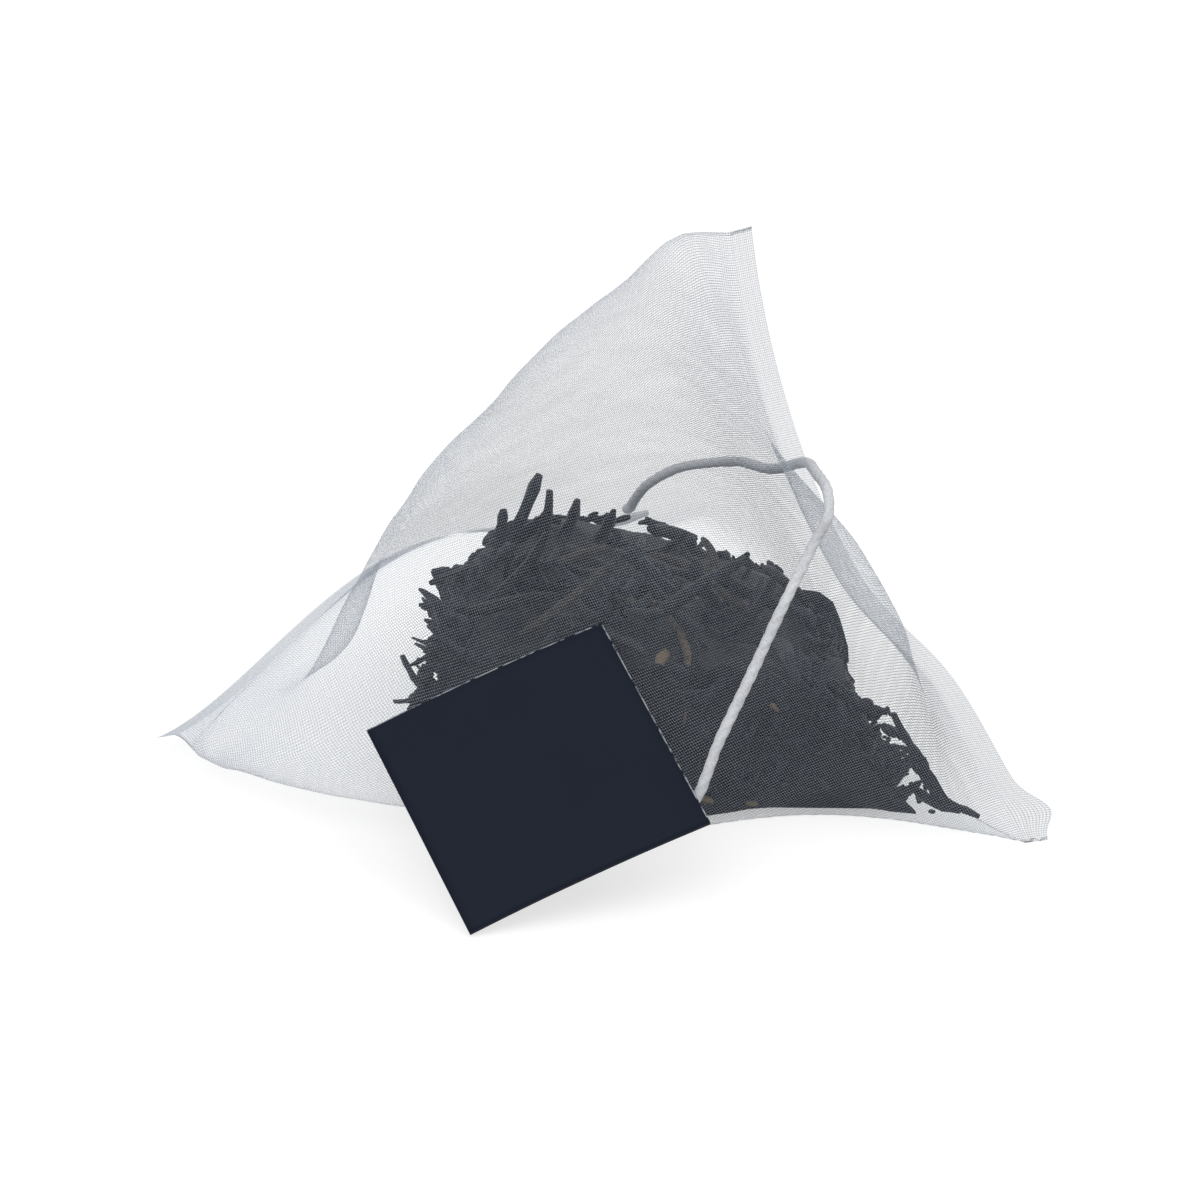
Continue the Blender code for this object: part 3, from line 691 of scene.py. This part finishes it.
def over_top(spot):
    """How far a place in mm stands over the heap's top line, seen from the front."""
    x, height = zip(*TOP_LINE)
    depth = spot.y - SIGHT_Y
    nearness = SIGHT_AWAY / (SIGHT_AWAY + DOWN_COSINE * depth)
    seen_x = SIGHT_X + (spot.x - SIGHT_X) * nearness
    seen_height = SIGHT_Z + (spot.z - SIGHT_Z + DOWN_TANGENT * depth) * nearness
    return seen_height - float(np.interp(seen_x, x, height))


room, room_grid = inner_room(LEAF_CLEAR)


def inside(point, clear):
    """True where a point in mm is in the pouch and that far from its cloth."""
    if room.find_nearest(point)[3] < clear:
        return False
    crossings = 0
    way = Vector((0.1, 0.05, 1.0)).normalized()
    hit = room.ray_cast(point, way)[0]
    while hit is not None and crossings < CROSSINGS_MOST:
        crossings += 1
        hit = room.ray_cast(hit + way * PAST_HIT, way)[0]
    return crossings % 2 == 1


bed = bmesh.new()
bed.from_mesh(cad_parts["tea_heap"].data)
bmesh.ops.remove_doubles(bed, verts=bed.verts, dist=1e-6)
for v in bed.verts:
    spot = v.co / MM
    if spot.x < BED_LEFT:
        spot.x = BED_LEFT + (spot.x - BED_LEFT) * BED_LEFT_KEEP
    at_right = RIGHT_DEEPER * share_past(spot.x, RIGHT_FROM, RIGHT_OVER)
    front = BED_FRONT + at_right
    if spot.y < front:
        gap = room.ray_cast(spot, Vector((0.0, -1.0, 0.0)))[3]
        if gap is not None and gap < WALL_REACH + WALL_REACH_RIGHT * at_right:
            spot.y -= max(0.0, gap - WALL_KEPT) * min(1.0, (front - spot.y) / FRONT_OVER)
        gap = room.ray_cast(spot, Vector((0.0, 0.0, -1.0)))[3]
        if gap is not None and gap < FLOOR_REACH:
            spot.z -= max(0.0, gap - BED_CLEAR)
    spot.z -= settle(spot)
    spot.z -= min(SINKS_MOST, max(0.0, over_top(spot) + UNDER_TOP))
    spot.z = max(spot.z, BED_BOTTOM)
    if not inside(spot, BED_CLEAR):
        wall = room.find_nearest(spot)[0]
        spot = wall + (BED_MIDDLE - wall).normalized() * BED_PUT_BACK
    v.co = spot * MM
bmesh.ops.recalc_face_normals(bed, faces=bed.faces)
heap = finished(bed, "tea_bed", [black_leaf])
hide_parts("tea_heap")
heap_data = heap.data
heap_tree = tree_of([v.co / MM for v in heap_data.vertices],
                    [tuple(p.vertices) for p in heap_data.polygons])

# Leaves and stems of the frame that the settled heap would leave in the air come down with it.
for name, part in sorted(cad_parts.items()):
    if not name.startswith(("tea_leaf", "tea_stem")):
        continue
    loose = bmesh.new()
    loose.from_mesh(part.data)
    bmesh.ops.remove_doubles(loose, verts=loose.verts, dist=1e-6)
    down = max(0.0, sum(settle(v.co / MM) for v in loose.verts) / len(loose.verts))
    down += max(0.0, max(over_top(v.co / MM - Vector((0.0, 0.0, down))) for v in loose.verts))
    if down < COMES_DOWN[0]:
        loose.free()
        continue
    down = min(down, COMES_DOWN[1])
    bmesh.ops.translate(loose, vec=(0.0, 0.0, -down * MM), verts=loose.verts)
    stem = "stem" in name
    piece = finished(loose, name + "_settled", [tan_wood if stem else black_leaf])
    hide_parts(name)

rod = bmesh.new()
bmesh.ops.create_cone(rod, cap_ends=True, segments=LEAF_SIDES, radius1=1.0, radius2=1.0, depth=1.0)
bmesh.ops.translate(rod, vec=(0.0, 0.0, 0.5), verts=rod.verts)
long_edges = [e for e in rod.edges if abs(e.verts[0].co.z - e.verts[1].co.z) > 0.5]
bmesh.ops.subdivide_edges(rod, edges=long_edges, cuts=LEAF_STEPS - 1)
bmesh.ops.triangulate(rod, faces=rod.faces)
rod_data = bpy.data.meshes.new("leaf_rod")
rod.to_mesh(rod_data)
rod_corners = [tuple(v.co) for v in rod.verts]
rod.free()

rng = random.Random(11)
leaves = bmesh.new()
shade_layer = leaves.verts.layers.float.new("shade")


def leaf_path(start, way, length, curl):
    """The middle line of a leaf that curls as it goes."""
    way = way.normalized()
    side = way.orthogonal().normalized()
    side.rotate(Matrix.Rotation(rng.uniform(*ANY_TURN), 3, way))
    points = [start.copy()]
    for _ in range(LEAF_STEPS):
        wobble = Vector([rng.uniform(-LEAF_WOBBLE, LEAF_WOBBLE) for _ in range(3)])
        way = (way + side * curl + wobble).normalized()
        points.append(points[-1] + way * length / LEAF_STEPS)
    return points


def route_points(route):
    """The points of a leaf that follows a route, evenly spaced."""
    line = smooth_route(route, ROUTE_STEP)
    picked = [round(n * (len(line) - 1) / LEAF_STEPS) for n in range(LEAF_STEPS + 1)]
    return [Vector(tuple(line[n])) for n in picked]


def add_leaf(points, width, flat, twist, shade):
    """One rolled leaf along its line, widest before its middle and broken at its ends."""
    before = len(leaves.verts)
    leaves.from_mesh(rod_data)
    leaves.verts.ensure_lookup_table()
    line = np.array([tuple(p) for p in points])
    _, sides, ups = frames_along(line)
    girth = [width * 0.5 * share * rng.uniform(*LEAF_UNEVEN) for share in LEAF_TAPER]
    start = rng.uniform(*ANY_TURN)
    for n, (x, y, z) in enumerate(rod_corners):
        row = round(z * LEAF_STEPS)
        angle = math.atan2(y, x)
        a = math.cos(angle) * girth[row]
        b = math.sin(angle) * girth[row] * flat
        turn = start + twist * z
        along_side = a * math.cos(turn) - b * math.sin(turn)
        along_up = a * math.sin(turn) + b * math.cos(turn)
        spot = line[row] + sides[row] * along_side + ups[row] * along_up
        corner = leaves.verts[before + n]
        corner.co = Vector(tuple(spot * MM))
        corner[shade_layer] = shade


def lay_leaf(points, width):
    """Adds a leaf where it fits, clear of the cloth and not over the top line."""
    if not all(inside(p, LEAF_KEPT * width) for p in points[::2]):
        return False
    if max(over_top(p) for p in points) > rng.uniform(*TOP_FRAY):
        return False
    add_leaf(points, width, rng.uniform(*LEAF_FLAT), rng.uniform(*LEAF_TWIST), rng.random())
    return True


heap_faces = [p for p in heap_data.polygons if p.normal.z > NOT_UNDER and p.area > 1e-9]
reach = list(np.cumsum([p.area for p in heap_faces]))
made = 0
tries = 0
while made < HEAP_LEAVES and tries < HEAP_TRIES:
    tries += 1
    face = heap_faces[int(np.searchsorted(reach, rng.uniform(0.0, reach[-1])))]
    out = face.normal.copy()
    start = face.center / MM + out * rng.uniform(*HEAP_OUT)
    tangent = out.orthogonal().normalized()
    tangent.rotate(Matrix.Rotation(rng.uniform(*ANY_TURN), 3, out))
    stands = rng.uniform(*(LYING if rng.random() < LYING_SHARE else STANDING))
    length = rng.choice([rng.uniform(*lengths) for lengths in HEAP_LENGTHS])
    points = leaf_path(start, tangent + out * stands, length, rng.uniform(*HEAP_CURLS))
    made += lay_leaf(points, rng.uniform(*HEAP_WIDTHS))

# Leaves that the front wall holds: they lie flat behind the cloth, where the heap is near.
made = 0
tries = 0
wall_rows, wall_columns, _ = room_grid.shape
while made < WALL_LEAVES and tries < WALL_TRIES:
    tries += 1
    j = rng.randrange(2, wall_rows - 2)
    k = rng.randrange(wall_columns)
    spot = Vector(tuple(room_grid[j, k]))
    beside = Vector(tuple(room_grid[j, (k + 1) % wall_columns])) - spot
    ahead = Vector(tuple(room_grid[j + 1, k])) - spot
    inward = beside.cross(ahead).normalized()
    near, _, _, gap = heap_tree.find_nearest(spot)
    if inward.dot(near - spot) < 0.0:
        inward = -inward
    held = gap <= (HELD_NEAR if spot.x < RIGHT_END else HELD_NEAR_RIGHT)
    if not held or spot.x < WALL_LEFT or spot.z > WALL_TOP:
        continue
    deepest = max(WALL_BEHIND[1], min(gap, WALL_BEHIND[2]))
    start = spot + inward * rng.uniform(WALL_BEHIND[0], deepest)
    tangent = beside.normalized()
    tangent.rotate(Matrix.Rotation(rng.uniform(*ANY_TURN), 3, inward))
    crumb = rng.random() < CRUMB_SHARE or spot.x > CRUMBS_PAST
    length = rng.choice([rng.uniform(*lengths) for lengths in WALL_LENGTHS])
    length = rng.uniform(*CRUMB_LENGTHS) if crumb else length
    points = leaf_path(start, tangent + inward * rng.uniform(*WALL_STANDING), length,
                       rng.uniform(*WALL_CURLS))
    made += lay_leaf(points, rng.uniform(*(CRUMB_WIDTHS if crumb else WALL_WIDTHS)))

for route, width, shade in PLACED_LEAVES:
    add_leaf(route_points(route), width, PLACED_FLAT, PLACED_TWIST, shade)
for route, width, shade in FRONT_BITS:
    line = []
    for x, height in route:
        start = Vector((x, SIGHT_Y, height)) + away * SIGHT_START
        wall, _, _, to_wall = room.ray_cast(start, -away)
        tea_top, _, _, to_tea = heap_tree.ray_cast(start, -away)
        if tea_top is not None and wall is not None and to_tea - to_wall > TOO_DEEP:
            line.append(tuple(tea_top + away * BIT_LIFT))
        elif wall is not None and (tea_top is not None or x > BITS_FREE_PAST):
            line.append(tuple(wall - away * BIT_BEHIND * width))
    if len(line) > 1:
        add_leaf(route_points(line), width, BIT_FLAT, PLACED_TWIST, shade)
bmesh.ops.recalc_face_normals(leaves, faces=leaves.faces)
tea = finished(leaves, "wiry_leaves", [black_leaf])

# Tag
# A square of card, printed plain dark blue on both sides, then cut, and curled a little. Its upper
# and right edges, and a thin line along those two rims, are pale: partly the card's cut core and
# partly a painted highlight where these edges catch the light, broken by chips in the print. Its
# lower and left edges keep the blue print.

TAG_SIDE = 19.6
TAG_THICK = 0.3
TAG_MIDDLE = Vector((-4.1, -34.35, 8.3))
TAG_ACROSS = Vector((18.0, 5.4, 6.6))
TAG_UP = Vector((-8.0, 15.4, 9.7))
TAG_CURL = 0.35
TAG_UNEVEN = 0.06
# The pale line along the upper and right rims, partly painted highlight: where it starts across
# the face, and how sharply.
RIM_FROM = 0.9945
RIM_EDGE = 400.0
CHIPS_FROM = 0.45
CHIPS_EDGE = 5.0
CHIPS_LEAST = 0.35
TAG_CELLS = 28

blue_print, tree, shader = principled("blue_print", 0.62, 0.12)
on_card = node(tree, "ShaderNodeUVMap", uv_map="card").outputs["UV"]
pulp = speckle(tree, 2200.0, 4.0)
cloudy = speckle(tree, 120.0)
across = node(tree, "ShaderNodeSeparateXYZ", {"Vector": on_card})
# A thin pale line along the upper and right rims, partly worn print and partly painted highlight,
# broken by chips.
rim = maths(tree, "MAXIMUM", across.outputs["X"], across.outputs["Y"])
lit_rim_and_wear = maths(tree, "MULTIPLY", maths(tree, "SUBTRACT", rim, RIM_FROM), RIM_EDGE, clamp=True)
chips = maths(tree, "SUBTRACT", speckle(tree, 1500.0), CHIPS_FROM)
chips = maths(tree, "MULTIPLY_ADD", chips, CHIPS_EDGE, CHIPS_LEAST, clamp=True)
tone = maths(tree, "MULTIPLY_ADD", cloudy, 0.5, maths(tree, "MULTIPLY", pulp, 0.5))
ink = shades(tree, tone, ((0.3, 0.0045, 0.0075, 0.0165), (0.7, 0.0065, 0.011, 0.022)))
card_face = node(tree, "ShaderNodeMix", {0: maths(tree, "MULTIPLY", lit_rim_and_wear, chips), 6: ink,
                                         7: (0.42, 0.44, 0.47, 1.0)}, data_type="RGBA")
tree.links.new(card_face.outputs[2], shader.inputs["Base Color"])
tree.links.new(maths(tree, "MULTIPLY_ADD", pulp, 0.2, 0.5), shader.inputs["Roughness"])
raise_bumps(tree, shader, pulp, 0.25, 0.00004)

# The pale card core, put only on the upper and right edges that catch the light, so partly painted
# highlight.
paper_core_lit_edges, tree, shader = principled("paper_core_lit_edges", 0.9, 0.2)
pulp = speckle(tree, 3800.0, 3.0)
tree.links.new(shades(tree, pulp, ((0.35, 0.22, 0.24, 0.28), (0.65, 0.62, 0.64, 0.67))),
               shader.inputs["Base Color"])
raise_bumps(tree, shader, pulp, 0.8, 0.00005)

mesh, _, _ = rolled_grid(TAG_CELLS, TAG_CELLS)
tag_across = TAG_ACROSS.normalized()
tag_up = (TAG_UP - tag_across * TAG_UP.dot(tag_across)).normalized()
tag_out = tag_across.cross(tag_up)
for v in mesh.verts:
    bent = TAG_CURL * (1.0 - (2.0 * v.co.x) ** 2)
    bent += TAG_UNEVEN * noise(Vector((v.co.x, v.co.y, 2.0)) * 3.0)
    spot = TAG_MIDDLE + tag_across * v.co.x * TAG_SIDE + tag_up * v.co.y * TAG_SIDE
    v.co = (spot + tag_out * (bent - TAG_THICK / 2)) * MM
top = bmesh.ops.extrude_face_region(mesh, geom=mesh.faces[:])["geom"]
bmesh.ops.translate(mesh, vec=tag_out * TAG_THICK * MM,
                    verts=[g for g in top if isinstance(g, bmesh.types.BMVert)])
bmesh.ops.recalc_face_normals(mesh, faces=mesh.faces)
# Only the upper and right edge faces get the pale core, as painted highlight where they catch the
# light; the lower and left keep the print.
for face in mesh.faces:
    cut = max(face.normal.dot(tag_up), face.normal.dot(tag_across)) > 0.5
    face.material_index = 1 if cut else 0
tag = finished(mesh, "card_tag", [blue_print, paper_core_lit_edges])
tag.data.uv_layers[0].name = "card"
for face in tag.data.polygons:
    face.use_smooth = abs(face.normal.dot(tag_out)) > 0.5
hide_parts("tag")

# Table
# A plain pale table under soft light from all round, and two wide lamps.

TABLE_SIZE = 4.0
TABLE_COLOUR = (0.45, 0.45, 0.45, 1.0)
TABLE_GLOW = 0.66
SKY_LIGHT = 0.6
LAMPS = ((0.95, (38.0, 0.0, -28.0)), (0.55, (42.0, 0.0, 60.0)))
LAMP_SOFTNESS = 50.0


def looked_at(tree):
    """1 where a ray comes from the camera, straight or over something shiny, and otherwise 0."""
    seen = node(tree, "ShaderNodeLightPath").outputs
    return maths(tree, "MAXIMUM", seen["Is Camera Ray"],
                 maths(tree, "MAXIMUM", seen["Is Glossy Ray"], seen["Is Transmission Ray"]))


mesh = bmesh.new()
bmesh.ops.create_grid(mesh, x_segments=2, y_segments=2, size=TABLE_SIZE / 2)
table_data = bpy.data.meshes.new("pale_table")
mesh.to_mesh(table_data)
mesh.free()
table = bpy.data.objects.new("pale_table", table_data)
bpy.context.scene.collection.objects.link(table)
pale, tree, shader = principled("pale_table", 0.9, 0.1)
shader.inputs["Base Color"].default_value = TABLE_COLOUR
shader.inputs["Emission Color"].default_value = (1.0, 1.0, 1.0, 1.0)
tree.links.new(maths(tree, "MULTIPLY", looked_at(tree), TABLE_GLOW),
               shader.inputs["Emission Strength"])
table_data.materials.append(pale)

sky = bpy.data.worlds.new("soft_room")
sky.use_nodes = True
tree = sky.node_tree
tree.nodes["Background"].inputs["Color"].default_value = (1.0, 1.0, 1.0, 1.0)
tree.links.new(maths(tree, "MULTIPLY_ADD", looked_at(tree), 1.0 - SKY_LIGHT, SKY_LIGHT),
               tree.nodes["Background"].inputs["Strength"])
bpy.context.scene.world = sky
for n, (strength, turn) in enumerate(LAMPS):
    light = bpy.data.lights.new(f"wide_lamp_{n}", "SUN")
    light.energy = strength
    light.angle = math.radians(LAMP_SOFTNESS)
    lamp = bpy.data.objects.new(f"wide_lamp_{n}", light)
    lamp.rotation_euler = [math.radians(a) for a in turn]
    bpy.context.scene.collection.objects.link(lamp)

bpy.context.scene.view_settings.view_transform = "Standard"
